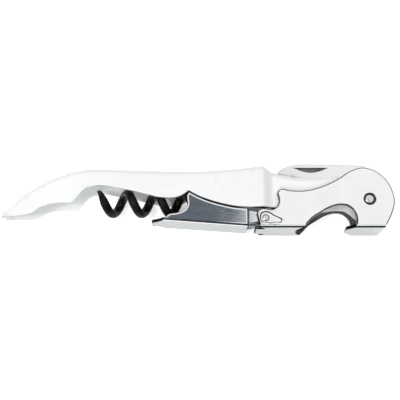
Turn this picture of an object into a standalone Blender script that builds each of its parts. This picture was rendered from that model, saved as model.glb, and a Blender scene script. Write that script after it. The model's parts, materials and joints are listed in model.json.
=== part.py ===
"""Waiter's corkscrew with a two-step lever, a foil blade and a cap lifter.

The tool lies on its side. +X runs along the handle towards the head, +Y towards the handle's spine,
and +Z up through the two side walls. Sizes are millimetres, and MM turns them into metres where a
mesh is made. Design coordinates start at the eye, the pivot in the head, on the mid-plane between
the walls, and every outline is drawn in the side view.
"""

import math

import bmesh
import bpy
from mathutils import Matrix, Vector

MM = 0.001

# Worm
WORM_OD = 9.3
WIRE_R = 1.4
WORM_TURNS = 5
WORM_EYE_R = 2.6
SHANK = 12.0
PIN_R = 1.0

# Lengths, measured from the eye
TAIL_REACH = 115.6
LEVER_REACH = 32.6
STEP_REACH = 35.7
HEAD_REACH = 7.85

# Heights, measured from the eye
SPINE_RISE = 9.5
SPINE_FOLD = 2.2
HEAD_FOLD = 1.5
STEP_FOLD = 1.3
WEB_DROP = 9.1
BLADE_RISE = 12.85
TANG_R = 4.2
EAR_R = 5.3

# Sheet thicknesses
HANDLE_WALL = 1.2
HEAD_WALL = 1.1
STEP_WALL = 1.0
BLADE_THICK = 1.5
SPRING_THICK = 0.5
SPRING_HALF = 1.1
EYE_WASHER = 0.4
EYE_WASHER_R = 3.5
BLADE_SPACER_R = 3.6
HINGE_WASHER = 0.3

# Rivets, and the tubes on them
EYE_RIVET_R = 1.0
EYE_HEAD_R = 1.4
HINGE_RIVET_R = 0.8
HINGE_HEAD_R = 1.05
TUBE_WALL = 0.5
COUNTERBORE = 0.5
HEAD_RING = 0.35
POCKET = 0.3
NICK_DEPTH = 0.45

# Clearances
SHAFT_PLAY = 0.06
PLAY = 0.1
WORM_CLEARANCE = 0.25
SWING_GAP = 0.45
SLIT_PLAY = 0.45
LIP_INSET = 0.02

# Half widths, from the worm outwards
STEP_INNER = WORM_OD / 2 + WORM_CLEARANCE
STEP_HALF = STEP_INNER + STEP_WALL
HEAD_HALF = STEP_HALF + 0.5
HANDLE_HALF = HEAD_HALF + 0.1
HEAD_INNER = HEAD_HALF - HEAD_WALL
NARROW_HALF = HEAD_INNER - EYE_WASHER - 2 * PLAY
NARROW_INNER = NARROW_HALF - HANDLE_WALL
ARM_HALF = HEAD_INNER - HINGE_WASHER - 2 * PLAY
ARM_INNER = ARM_HALF - STEP_WALL
FOOT_HALF = ARM_INNER - 4 * PLAY
TAIL_HALF = 2.6

# Places
ARM_EYE_R = HINGE_RIVET_R + SHAFT_PLAY + 0.8
HINGE_X = -LEVER_REACH
HINGE_Y = -(WEB_DROP - HEAD_WALL - ARM_EYE_R - 3 * PLAY)
PIN_X = HINGE_X + 4.6
JOGGLE_END = PIN_X - 1.6
JOGGLE_START = JOGGLE_END - 4.3
SLIT_END = JOGGLE_END + 0.6
BLADE_TIP_X = SLIT_END + 0.5
TAIL_X = -TAIL_REACH
WORM_TIP_X = TAIL_X + 29.8
SPRING_PIN = (PIN_X + 8.5, 1.4)
SPRING_PIN_R = 0.7
STEP_END_X = HINGE_X - 5.7
FOOT_X = HINGE_X - STEP_REACH
STEP_CORNER_X = HINGE_X - 0.67 * STEP_REACH
STEP_FOOT_DROP = WORM_OD / 2 + STEP_WALL + 0.95
STEP_END_DROP = WEB_DROP - 0.5
STEP_END_Y = -STEP_END_DROP + STEP_WALL + 0.3

# The middle of the tool's outline lies over the part's origin, and its lower wall on the floor.
EYE_AT = ((TAIL_REACH - HEAD_REACH) / 2, (WEB_DROP - BLADE_RISE) / 2, HANDLE_HALF)

ROUND = 24
SIDES = ((1, "front"), (-1, "rear"))
CURVE_STEPS = 5
FOLD_STEPS = 4


# ---------------------------------------------------------------- scene

def clear_scene():
    for thing in list(bpy.data.objects):
        bpy.data.objects.remove(thing, do_unlink=True)


def new_collection(name):
    collection = bpy.data.collections.new(name)
    bpy.context.scene.collection.children.link(collection)
    return collection


clear_scene()
PARTS = new_collection("waiters_corkscrew")
CUTTERS = new_collection("cutters")


def pivot(name, x, y, z, parent=None):
    """An empty on a joint's axis."""
    empty = bpy.data.objects.new(name, None)
    PARTS.objects.link(empty)
    empty.location = (x * MM, y * MM, z * MM)
    empty.parent = parent
    return empty


EYE = pivot("eye_axis", *EYE_AT)
HINGE = pivot("hinge_axis", HINGE_X, HINGE_Y, 0, EYE)
PIN = pivot("worm_axis", PIN_X, 0, 0, EYE)
CENTRES = {EYE: (0, 0), HINGE: (HINGE_X, HINGE_Y), PIN: (PIN_X, 0)}


def material(name, colour, roughness, metallic):
    made = bpy.data.materials.new(name)
    made.use_nodes = True
    shader = made.node_tree.nodes["Principled BSDF"]
    shader.inputs["Base Color"].default_value = (*colour, 1)
    shader.inputs["Roughness"].default_value = roughness
    shader.inputs["Metallic"].default_value = metallic
    return made


WHITE = ((0.93, 0.94, 0.94), 0.3, 0.0)
CHROME = ((0.86, 0.87, 0.88), 0.08, 1.0)
STEEL = ((0.66, 0.67, 0.67), 0.25, 1.0)
BLACK = ((0.012, 0.012, 0.013), 0.35, 0.0)
BRASS = ((0.72, 0.55, 0.27), 0.3, 1.0)


# ---------------------------------------------------------------- shapes

def mesh_object(name, bm):
    bmesh.ops.remove_doubles(bm, verts=bm.verts, dist=1e-6)
    bmesh.ops.recalc_face_normals(bm, faces=bm.faces)
    mesh = bpy.data.meshes.new(name)
    bm.to_mesh(mesh)
    bm.free()
    made = bpy.data.objects.new(name, mesh)
    CUTTERS.objects.link(made)
    return made


def mesh_of(drawn):
    """A curve object's mesh. The curve object goes."""
    CUTTERS.objects.link(drawn)
    bpy.context.view_layer.update()
    evaluated = drawn.evaluated_get(bpy.context.evaluated_depsgraph_get())
    mesh = bpy.data.meshes.new_from_object(evaluated)
    bpy.data.objects.remove(drawn)
    return mesh


def disc(name, centre, radius, low, high):
    """A cylinder along Z about a point of the side view."""
    bm = bmesh.new()
    bmesh.ops.create_cone(bm, cap_ends=True, segments=ROUND, radius1=radius * MM,
                          radius2=radius * MM, depth=(high - low) * MM)
    middle = Vector((centre[0], centre[1], (low + high) / 2)) * MM
    bmesh.ops.translate(bm, verts=bm.verts, vec=middle)
    return mesh_object(name, bm)


def box(name, low, high):
    bm = bmesh.new()
    bmesh.ops.create_cube(bm, size=1)
    size = [(b - a) * MM for a, b in zip(low, high)]
    bmesh.ops.scale(bm, verts=bm.verts, vec=size)
    middle = Vector([(a + b) / 2 * MM for a, b in zip(low, high)])
    bmesh.ops.translate(bm, verts=bm.verts, vec=middle)
    return mesh_object(name, bm)


def plate(name, points, low, high, flat=False, steps=CURVE_STEPS):
    """A filled outline: points are (x, y), smooth, or (x, y, "corner").

    It spans low to high in Z. A flat one lies level instead: its points are (x, z), and it spans
    low to high in Y.
    """
    curve = bpy.data.curves.new(name, "CURVE")
    curve.dimensions = "2D"
    curve.fill_mode = "BOTH"
    curve.extrude = (high - low) / 2 * MM
    curve.resolution_u = steps
    spline = curve.splines.new("BEZIER")
    spline.bezier_points.add(len(points) - 1)
    spline.use_cyclic_u = True
    for knot, point in zip(spline.bezier_points, points):
        knot.co = (point[0] * MM, point[1] * MM, 0)
        kind = "VECTOR" if len(point) == 3 else "AUTO"
        knot.handle_left_type = kind
        knot.handle_right_type = kind
    drawn = bpy.data.objects.new(name, curve)
    bm = bmesh.new()
    bm.from_mesh(mesh_of(drawn))
    middle = (low + high) / 2 * MM
    if flat:
        bmesh.ops.transform(bm, verts=bm.verts, matrix=Matrix.Rotation(math.pi / 2, 4, "X"))
        bmesh.ops.translate(bm, verts=bm.verts, vec=(0, middle, 0))
    else:
        bmesh.ops.translate(bm, verts=bm.verts, vec=(0, 0, middle))
    return mesh_object(name, bm)


def smooth_value(points, x):
    """The height at x of a smooth curve through (x, y) points that run towards +X."""
    last = len(points) - 2
    i = max(0, min(last, sum(1 for p in points if p[0] <= x) - 1))
    (x0, y0), (x1, y1) = points[i], points[i + 1]
    span = x1 - x0
    slope = (y1 - y0) / span
    before = (y0 - points[i - 1][1]) / (x0 - points[i - 1][0]) if i > 0 else slope
    after = (points[i + 2][1] - y1) / (points[i + 2][0] - x1) if i < last else slope
    t = max(0.0, min(1.0, (x - x0) / span))
    m0 = (before + slope) / 2 * span
    m1 = (slope + after) / 2 * span
    return ((2 * t**3 - 3 * t**2 + 1) * y0 + (t**3 - 2 * t**2 + t) * m0
            + (3 * t**2 - 2 * t**3) * y1 + (t**3 - t**2) * m1)


def channel(name, stations, wall, open_y):
    """Sheet folded to a channel. A station is (x, half width, y of the fold's outside, fold radius)."""
    bm = bmesh.new()
    rings = []
    for x, half, fold_y, radius in stations:
        up = 1 if fold_y > open_y else -1
        side = []
        for inset in (0, wall):
            r = max(radius - inset, 0.25)
            w = half - inset
            top = fold_y - up * inset
            path = [(open_y, w)]
            for k in range(FOLD_STEPS + 1):
                a = math.pi / 2 * k / FOLD_STEPS
                path.append((top - up * r * (1 - math.sin(a)), w - r * (1 - math.cos(a))))
            half_path = path + [(y, -z) for y, z in reversed(path)]
            side += half_path if inset == 0 else list(reversed(half_path))
        rings.append([bm.verts.new((x * MM, y * MM, z * MM)) for y, z in side])
    for a, b in zip(rings, rings[1:]):
        for i in range(len(a)):
            j = (i + 1) % len(a)
            bm.faces.new((a[i], a[j], b[j], b[i]))
    half_count = len(rings[0]) // 2
    for ring in (rings[0], rings[-1]):
        for i in range(half_count - 1):
            bm.faces.new((ring[i], ring[i + 1], ring[-2 - i], ring[-1 - i]))
    return mesh_object(name, bm)


def ramp(x, start, end):
    """0 before start, 1 after end, with a smooth rise between them."""
    t = max(0.0, min(1.0, (x - start) / (end - start)))
    return t * t * (3 - 2 * t)


def spread(low, high, count):
    return [low + (high - low) * k / count for k in range(count + 1)]


def combine(target, other, operation):
    """A Boolean of target with other, which stays as a hidden guide."""
    other.hide_render = True
    other.display_type = "WIRE"
    modifier = target.modifiers.new(other.name, "BOOLEAN")
    modifier.operation = operation
    modifier.solver = "EXACT"
    modifier.object = other
    return target


def cut(target, other):
    return combine(target, other, "DIFFERENCE")


def join(target, other):
    return combine(target, other, "UNION")


def keep(target, other):
    return combine(target, other, "INTERSECT")


def finish(made, name, finish_values, axis=EYE):
    """Names a part, gives it its material, and hangs it on the empty at its axis."""
    made.name = name
    made.data.name = name
    CUTTERS.objects.unlink(made)
    PARTS.objects.link(made)
    made.data.materials.append(material(name, *finish_values))
    centre = CENTRES[axis]
    made.data.transform(Matrix.Translation((-centre[0] * MM, -centre[1] * MM, 0)))
    made.data.shade_smooth()
    made.data.set_sharp_from_angle(angle=math.radians(35))
    made.parent = axis
    for modifier in made.modifiers:
        if modifier.type == "BOOLEAN" and modifier.object.parent is None:
            modifier.object.data.transform(Matrix.Translation((-centre[0] * MM, -centre[1] * MM, 0)))
            modifier.object.parent = axis
    return made


# ---------------------------------------------------------------- outlines

def arc_points(centre, radius, start, end, count):
    """Points on an arc, from one angle in degrees to another."""
    angles = [math.radians(a) for a in spread(start, end, count - 1)]
    return [(centre[0] + radius * math.cos(a), centre[1] + radius * math.sin(a)) for a in angles]


def spine_points():
    """The spine's top, from the tail to the head."""
    tail = [(0, -3.6), (1.7, -2.5), (3.2, -0.9), (5.3, 1.3), (8.6, 3.5), (11.9, 5.2), (15.1, 6.7)]
    points = [(TAIL_X + x, y) for x, y in tail]
    points += [(TAIL_X + 18.2, SPINE_RISE - 1.6), (TAIL_X + 21.3, SPINE_RISE - 0.6)]
    points += [(TAIL_X + 24.4, SPINE_RISE + 0.15), (TAIL_X + 27.6, SPINE_RISE + 0.6)]
    points += [(TAIL_X + 34, SPINE_RISE + 0.6)]
    bay = JOGGLE_START - points[-1][0]
    points += [(points[-1][0] + bay * part, SPINE_RISE + rise)
               for part, rise in ((0.24, 0.15), (0.6, 0.0), (0.85, 0.85))]
    points += [(JOGGLE_START, SPINE_RISE + 1.65), (JOGGLE_START + 1.0, SPINE_RISE + 1.7)]
    points += [(JOGGLE_END - 1.2, SPINE_RISE + 0.3), (JOGGLE_END + 0.9, SPINE_RISE - 0.3)]
    points += [(JOGGLE_END + 3.6, SPINE_RISE - 1.1), (JOGGLE_END + 6.2, SPINE_RISE - 1.55)]
    points += [(JOGGLE_END + 10, SPINE_RISE - 1.7), (-13.4, SPINE_RISE - 1.55), (-9.3, SPINE_RISE - 0.7)]
    points += [(-7.0, SPINE_RISE), (-3.0, SPINE_RISE + 0.3), (7.0, SPINE_RISE + 0.3)]
    return points


def step_top_points():
    """The step lever's top edge, from its arms to its front corner, under the handle's edge."""
    run = STEP_CORNER_X - STEP_END_X
    shape = [(0.0, -2.95), (0.2, -2.66), (0.4, -1.95), (0.61, -0.89), (0.81, 0.47), (0.95, 1.75)]
    return [(STEP_END_X + run * part, y) for part, y in shape]


def handle_keep_points():
    """What the handle's walls keep: its lower edge, the round ears, and room above the spine."""
    tail = [(0.2, -5.4), (1.8, -4.85), (5.6, -4.75), (10, -3.9), (12.6, -2.3), (15.7, -1.4)]
    tail += [(18.8, -1.07)]
    points = [(TAIL_X - 0.05, -4.3)] + [(TAIL_X + x, y) for x, y in tail]
    hook = [(24.3, 0.9), (25.5, 2.4), (26.8, 3.6), (28.4, 4.1), (31.1, 4.44), (34.2, 4.1)]
    points += [(TAIL_X + 22.5, -1.15, "corner")] + [(TAIL_X + x, y) for x, y in hook]
    peak = (STEP_CORNER_X - 0.15, 2.35 + SWING_GAP)
    start = points[-1][0]
    bay = peak[0] - start
    points += [(start + bay * part, y) for part, y in ((0.25, 2.9), (0.5, 1.4), (0.68, 0.5), (0.83, 0.55))]
    points += [(start + bay * 0.93, 1.55), (*peak, "corner")]
    points += [(x, y + SWING_GAP) for x, y in reversed(step_top_points()[:-1])]
    points += [(HINGE_X, -2.35), (JOGGLE_END, -2.35), (-14, -1.9), (-9, -1.3), (-6.4, -1.6)]
    points += arc_points((0, 0), EAR_R, -145, 90, 9)
    points += [(-3.6, 6.8), (-6.5, SPINE_RISE + 1.2), (-8, BLADE_RISE + 2, "corner")]
    points += [(TAIL_X - 0.05, BLADE_RISE + 2, "corner")]
    return points


def head_points():
    """The head's side: bird-shaped, with the cap lifter's notch under the eye."""
    points = [(PIN_X - 0.9, 2.0), (PIN_X - 0.1, 3.1), (PIN_X + 3.1, 2.85), (PIN_X + 7, 2.7)]
    points += [(-17.4, 3.3), (-13.6, 4.6), (-9.7, 6.6), (-5.8, 9.15), (-2.0, 10.3), (1.8, 9.4)]
    points += [(5.3, 6.6), (7.3, 2.8), (HEAD_REACH, -0.6), (6.8, -4.7), (3.8, -WEB_DROP, "corner")]
    points += [(-4.7, -WEB_DROP, "corner"), (-4.75, -8.3), (-4.35, -6.5), (-5.1, -3.9), (-6.9, -2.3)]
    points += [(-9.2, -1.85), (-12.0, -2.5), (-15.75, -4.55), (-19.6, -7.1)]
    points += [(-22.3, -WEB_DROP, "corner"), (HINGE_X - 1.0, -WEB_DROP, "corner")]
    points += [(HINGE_X - 2.1, HINGE_Y - 2.2), (HINGE_X - 2.8, HINGE_Y + 1.7)]
    points += [(HINGE_X - 2.0, HINGE_Y + 2.9), (PIN_X - 2.0, HINGE_Y + 2.95)]
    points += [(PIN_X - 0.5, HINGE_Y + 3.9), (PIN_X - 0.7, 0.3)]
    return points


def step_points():
    """The step lever's side: its foot, its front corner, and the arms that reach the hinge."""
    nose = FOOT_X + 3.7
    points = step_top_points()
    points += [(STEP_CORNER_X - 0.1, 2.3), (STEP_CORNER_X - 0.55, 1.6), (STEP_CORNER_X - 0.6, -1.9)]
    points += [(STEP_CORNER_X - 1.1, -3.0), (STEP_CORNER_X - 2.6, -3.95), (nose + 3.7, -4.4)]
    points += [(nose + 1.6, -4.8), (nose + 0.3, -5.5), (nose - 0.1, -STEP_FOOT_DROP - 1, "corner")]
    points += [(STEP_END_X, -STEP_END_DROP - 1, "corner"), (STEP_END_X, STEP_END_Y, "corner")]
    points += [(HINGE_X - 3.9, HINGE_Y - 1.35), (HINGE_X - 2.6, HINGE_Y - 0.85)]
    points += [(HINGE_X - 1.5, HINGE_Y - 0.95)]
    points += arc_points(CENTRES[HINGE], ARM_EYE_R, -115, 95, 8)
    points += [(HINGE_X - 2.2, HINGE_Y + 2.2)]
    return points


def blade_points():
    """The folded blade: its back above the spine, its toothed edge in the slit."""
    back = [(BLADE_TIP_X, 9.6, "corner"), (BLADE_TIP_X + 1.4, 11.1), (BLADE_TIP_X + 4.3, 12.4)]
    back += [(BLADE_TIP_X + 7.6, BLADE_RISE), (-12.8, BLADE_RISE - 0.15), (-1.4, BLADE_RISE - 0.4)]
    heel = [(0.2, BLADE_RISE - 1.1), (-0.7, 10.2), (-0.5, 8.6), (0.7, 6.8)]
    heel += arc_points((0, 0), TANG_R, 35, -188, 7)
    heel += [(-5.4, 3.2), (-8.2, 5.2, "corner")]
    teeth = 14
    tooth = 0.35
    start = Vector((-8.8, 5.6))
    end = Vector((BLADE_TIP_X + 1.2, 8.9))
    edge = []
    for k in range(2 * teeth + 1):
        part = k / (2 * teeth)
        sag = 1.3 * math.sin(math.pi * part)
        rise = tooth if k % 2 else 0
        point = start.lerp(end, part)
        edge.append((point.x, point.y - sag + rise, "corner"))
    return back + heel + edge


def foot_points(root_x, tip_x, root_half, tip_half, teeth):
    """A foot's outline in plan, with teeth across its end."""
    points = [(root_x, -root_half, "corner"), (root_x, root_half, "corner")]
    for k in range(2 * teeth + 1):
        z = tip_half - 2 * tip_half * k / (2 * teeth)
        points.append((tip_x + (0.35 if k % 2 else 0), z, "corner"))
    return points


# ---------------------------------------------------------------- sub-parts

def handle_shell():
    stations = []
    xs = spread(TAIL_X - 0.6, TAIL_X + 30, 13) + spread(TAIL_X + 30, JOGGLE_START, 6)[1:]
    xs += spread(JOGGLE_START, JOGGLE_END, 5)[1:] + spread(JOGGLE_END, 7, 8)[1:]
    spine = spine_points()
    for x in xs:
        taper = math.sin(math.pi / 2 * min(1, (x - TAIL_X + 0.6) / 25))
        half = TAIL_HALF + (HANDLE_HALF - TAIL_HALF) * taper
        half += (NARROW_HALF - HANDLE_HALF) * ramp(x, JOGGLE_START, JOGGLE_END)
        stations.append((x, half, smooth_value(spine, x), min(SPINE_FOLD, half - 0.3)))
    shell = channel("handle_shell", stations, HANDLE_WALL, -12)
    keep(shell, plate("handle_keep", handle_keep_points(), -HANDLE_HALF - 2, HANDLE_HALF + 2))
    slit = BLADE_THICK / 2 + SLIT_PLAY
    cut(shell, box("blade_slit", (SLIT_END, 3, -slit), (12, BLADE_RISE + 4, slit)))
    far = HANDLE_HALF + 3
    cut(shell, disc("eye_hole", (0, 0), EYE_RIVET_R + SHAFT_PLAY, -far, far))
    cut(shell, disc("pin_hole", (PIN_X, 0), PIN_R + SHAFT_PLAY, -far, far))
    cut(shell, disc("spring_pin_hole", SPRING_PIN, SPRING_PIN_R + SHAFT_PLAY, -far, far))
    return finish(shell, "handle_shell", WHITE)


def rivet_holes(body, name, axis, half, shank_r, head_r):
    """A rivet's hole through both walls, with a round seat sunk for each head."""
    far = half + 3
    cut(body, disc(name + "_hole", CENTRES[axis], shank_r + SHAFT_PLAY, -far, far))
    for side, word in SIDES:
        seat = sorted((side * (half - COUNTERBORE), side * far))
        cut(body, disc(name + "_seat_" + word, CENTRES[axis], head_r + HEAD_RING, *seat))


def head_lever():
    ends = (HINGE_X - 8, HEAD_REACH + 3)
    stations = [(x, HEAD_HALF, -WEB_DROP, HEAD_FOLD) for x in ends]
    body = channel("head_lever", stations, HEAD_WALL, 14)
    keep(body, plate("head_keep", head_points(), -HEAD_HALF - 2, HEAD_HALF + 2))
    web = (-WEB_DROP, -WEB_DROP + HEAD_WALL)
    lips = (web[0] + LIP_INSET, web[1] - LIP_INSET)
    cut(body, box("arm_relief", (HINGE_X - 4, web[0] - 1, -HEAD_INNER),
                  (HINGE_X - 0.8, web[1] + 0.05, HEAD_INNER)))
    first_foot = foot_points(HINGE_X + 2, HINGE_X - 3.4, FOOT_HALF, FOOT_HALF - 0.2, 5)
    join(body, plate("first_foot", first_foot, *lips, flat=True))
    lip = [(-2, -4.6, "corner"), (-2, 4.6, "corner"), (-4.8, 4.6, "corner"), (-7.1, 2.4, "corner")]
    lip += [(-7.1, -2.4, "corner"), (-4.8, -4.6, "corner")]
    join(body, plate("cap_lip", lip, *lips, flat=True))
    pocket = [(HINGE_X - 5, HINGE_Y + 1.9, "corner"), (HINGE_X + 2.2, HINGE_Y + 1.9)]
    pocket += [(HINGE_X + 4.6, HINGE_Y + 0.2), (HINGE_X + 7.2, HINGE_Y - 2.0)]
    pocket += [(HINGE_X - 5, HINGE_Y - 2.0, "corner")]
    for side, word in SIDES:
        span = sorted((side * (HEAD_HALF - POCKET), side * (HEAD_HALF + 2)))
        cut(body, plate("pocket_" + word, pocket, *span))
    rivet_holes(body, "eye", EYE, HEAD_HALF, EYE_RIVET_R, EYE_HEAD_R)
    rivet_holes(body, "hinge", HINGE, HEAD_HALF - POCKET, HINGE_RIVET_R, HINGE_HEAD_R)
    return finish(body, "head_lever", CHROME)


def step_lever():
    nose = FOOT_X + 3.7
    stations = []
    for x in [nose - 2] + spread(STEP_END_X - 0.1, STEP_END_X + 1.3, 3) + [HINGE_X + 3]:
        part = (x - nose) / (STEP_END_X - nose)
        base = -(STEP_FOOT_DROP + (STEP_END_DROP - STEP_FOOT_DROP) * part)
        half = STEP_HALF - (STEP_HALF - ARM_HALF) * ramp(x, STEP_END_X - 0.1, STEP_END_X + 1.3)
        stations.append((x, half, base, STEP_FOLD))
    body = channel("step_lever", stations, STEP_WALL, 8)
    keep(body, plate("step_keep", step_points(), -STEP_HALF - 2, STEP_HALF + 2))
    foot = foot_points(nose + 1.5, FOOT_X, STEP_INNER - 0.6, 2.5, 3)
    sole = plate("second_foot", foot, -STEP_FOOT_DROP, -STEP_FOOT_DROP + STEP_WALL, flat=True)
    join(body, sole)
    far = STEP_HALF + 3
    cut(body, disc("arm_hole", CENTRES[HINGE], HINGE_RIVET_R + SHAFT_PLAY, -far, far))
    return finish(body, "step_lever", CHROME, HINGE)


def worm_path():
    """Points (x, y, z, thickness) along the wire: the tip, the helix, and the shank to the eye."""
    radius = WORM_OD / 2 - WIRE_R
    helix_end = PIN_X - SHANK
    pitch = (helix_end - WORM_TIP_X) / WORM_TURNS
    per_turn = 16
    path = []
    for k in range(WORM_TURNS * per_turn + 1):
        turn = k / per_turn
        a = 2 * math.pi * turn
        thick = min(1, 0.14 + 1.3 * turn)
        r = radius + WIRE_R * (1 - thick) * 0.7
        path.append((WORM_TIP_X + pitch * turn, r * math.cos(a), r * math.sin(a), thick))
    bend = 5
    last = path[-1]
    for k in range(1, bend + 1):
        part = k / bend
        a = 2 * math.pi * 0.3 * part
        r = radius * (1 - ramp(part, 0, 1))
        path.append((last[0] + 5.0 * part, r * math.cos(a), r * math.sin(a), 1))
    path.append((PIN_X - WORM_EYE_R + 0.6, 0, 0, 1))
    return path


def worm():
    curve = bpy.data.curves.new("worm_wire", "CURVE")
    curve.dimensions = "3D"
    curve.bevel_depth = WIRE_R * MM
    curve.bevel_resolution = 2
    curve.use_fill_caps = True
    path = worm_path()
    spline = curve.splines.new("POLY")
    spline.points.add(len(path) - 1)
    for point, (x, y, z, thick) in zip(spline.points, path):
        point.co = (x * MM, y * MM, z * MM, 1)
        point.radius = thick
    drawn = bpy.data.objects.new("worm_wire", curve)
    bm = bmesh.new()
    bm.from_mesh(mesh_of(drawn))
    wire = mesh_object("worm", bm)
    join(wire, disc("worm_eye", CENTRES[PIN], WORM_EYE_R, -WIRE_R, WIRE_R))
    cut(wire, disc("worm_hole", CENTRES[PIN], PIN_R + SHAFT_PLAY, -WIRE_R - 2, WIRE_R + 2))
    return finish(wire, "worm", BLACK, PIN)


def foil_blade():
    half = BLADE_THICK / 2
    blade = plate("foil_blade", blade_points(), -half, half, steps=4)
    nick = [(BLADE_TIP_X + 5.6, 11.7, "corner"), (BLADE_TIP_X + 16.4, 11.7, "corner")]
    nick += [(BLADE_TIP_X + 13.9, 10.6), (BLADE_TIP_X + 11.0, 10.1), (BLADE_TIP_X + 8.1, 10.6)]
    cut(blade, plate("nail_nick", nick, half - NICK_DEPTH, half + 2))
    tube_r = EYE_RIVET_R + SHAFT_PLAY + TUBE_WALL
    cut(blade, disc("blade_hole", CENTRES[EYE], tube_r + SHAFT_PLAY, -half - 2, half + 2))
    return finish(blade, "foil_blade", STEEL)


def turned(name, axis, place, profile):
    """A round steel piece about Z: profile runs (radius, z) from the top down."""
    mesh = bpy.data.meshes.new(name)
    points = [(r * MM, 0, z * MM) for r, z in profile]
    mesh.from_pydata(points, [(i, i + 1) for i in range(len(points) - 1)], [])
    mesh.materials.append(material(name, *STEEL))
    made = bpy.data.objects.new(name, mesh)
    PARTS.objects.link(made)
    screw = made.modifiers.new("turn", "SCREW")
    screw.steps = ROUND
    screw.render_steps = ROUND
    screw.use_merge_vertices = True
    screw.merge_threshold = 0.000001
    made.parent = axis
    made.location = (place[0] * MM, place[1] * MM, 0)
    return made


def rivet(name, axis, shank_r, head_r, seat, crown):
    """A solid rivet: its shank through both walls, and a low domed head in each seat."""
    edge = 0.18
    top = [(0, crown), (head_r * 0.6, crown - 0.02), (head_r - edge, crown - 0.08), (head_r, crown - 0.3)]
    half = top + [(head_r, seat + 0.05), (shank_r, seat + 0.05)]
    profile = half + [(r, -z) for r, z in reversed(half)]
    return turned(name, axis, (0, 0), profile)


def pin(name, place, radius, half):
    edge = 0.15
    half_profile = [(0, half), (radius - edge, half), (radius, half - edge)]
    profile = half_profile + [(r, -z) for r, z in reversed(half_profile)]
    return turned(name, EYE, place, profile)


def ring(name, axis, inner, outer, low, high, finish_values):
    made = disc(name, CENTRES[axis], outer, low, high)
    cut(made, disc(name + "_bore", CENTRES[axis], inner, low - 1, high + 1))
    return finish(made, name, finish_values, axis)


def ring_pair(name, axis, inner, outer, low, high, finish_values):
    ring(name + "_front", axis, inner, outer, low, high, finish_values)
    ring(name + "_rear", axis, inner, outer, -high, -low, finish_values)


def blade_spring():
    """A leaf that grips its own pin and presses towards the blade's round tang."""
    x, y = SPRING_PIN
    end_x = -TANG_R - SWING_GAP
    bow = [(1.15, -0.3), (4, -0.55), (8, -0.25)]
    top = [(x + dx, y + dy) for dx, dy in bow] + [(end_x - 1.2, y + 0.1), (end_x, y + 0.05)]
    low = [(px, py - SPRING_THICK) for px, py in reversed(top)]
    eye = [(x - 0.5, y - 1.25), (x - 1.3, y), (x - 0.5, y + 1.2), (x + 0.7, y + 1.0)]
    leaf = plate("blade_spring", top + low + eye, -SPRING_HALF, SPRING_HALF, steps=3)
    cut(leaf, disc("spring_bore", SPRING_PIN, SPRING_PIN_R + SHAFT_PLAY, -3, 3))
    return finish(leaf, "blade_spring", STEEL)


def build():
    handle_shell()
    head_lever()
    step_lever()
    worm()
    foil_blade()

    tube_r = EYE_RIVET_R + SHAFT_PLAY + TUBE_WALL
    inside = NARROW_INNER - PLAY
    ring("eye_tube", EYE, EYE_RIVET_R + SHAFT_PLAY, tube_r, -inside, inside, STEEL)
    ring_pair("blade_spacer", EYE, tube_r + SHAFT_PLAY, BLADE_SPACER_R, BLADE_THICK / 2 + PLAY, inside, BRASS)
    ring_pair("eye_washer", EYE, EYE_RIVET_R + SHAFT_PLAY, EYE_WASHER_R, NARROW_HALF + PLAY,
              NARROW_HALF + PLAY + EYE_WASHER, BRASS)
    rivet("eye_rivet", EYE, EYE_RIVET_R, EYE_HEAD_R, HEAD_HALF - COUNTERBORE, HEAD_HALF + 0.05)

    ring("hinge_tube", HINGE, HINGE_RIVET_R + SHAFT_PLAY, HINGE_RIVET_R + SHAFT_PLAY + TUBE_WALL,
         -ARM_INNER + PLAY, ARM_INNER - PLAY, STEEL)
    ring_pair("hinge_washer", HINGE, HINGE_RIVET_R + SHAFT_PLAY, ARM_EYE_R, ARM_HALF + PLAY,
              ARM_HALF + PLAY + HINGE_WASHER, BRASS)
    rivet("hinge_rivet", HINGE, HINGE_RIVET_R, HINGE_HEAD_R, HEAD_HALF - POCKET - COUNTERBORE,
          HEAD_HALF - POCKET + 0.05)

    ring_pair("worm_spacer", PIN, PIN_R + SHAFT_PLAY, 2.1, WIRE_R + PLAY, inside, STEEL)
    pin("worm_pin", (PIN_X, 0), PIN_R, NARROW_HALF)
    pin("spring_pin", SPRING_PIN, SPRING_PIN_R, NARROW_HALF)
    blade_spring()


build()
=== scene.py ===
"""Looks of a waiter's corkscrew: white enamelled handle, bright plated levers, black coated worm.

Sizes are millimetres in the side view, measured from the eye (the lever's pivot in the head) on the
plane midway between the walls. spot() turns them into the frame's metres. Pivots and widths come
from the frame.
"""

import json
import math

import bmesh
import bpy
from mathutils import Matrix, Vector
from mathutils.geometry import intersect_point_line


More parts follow.
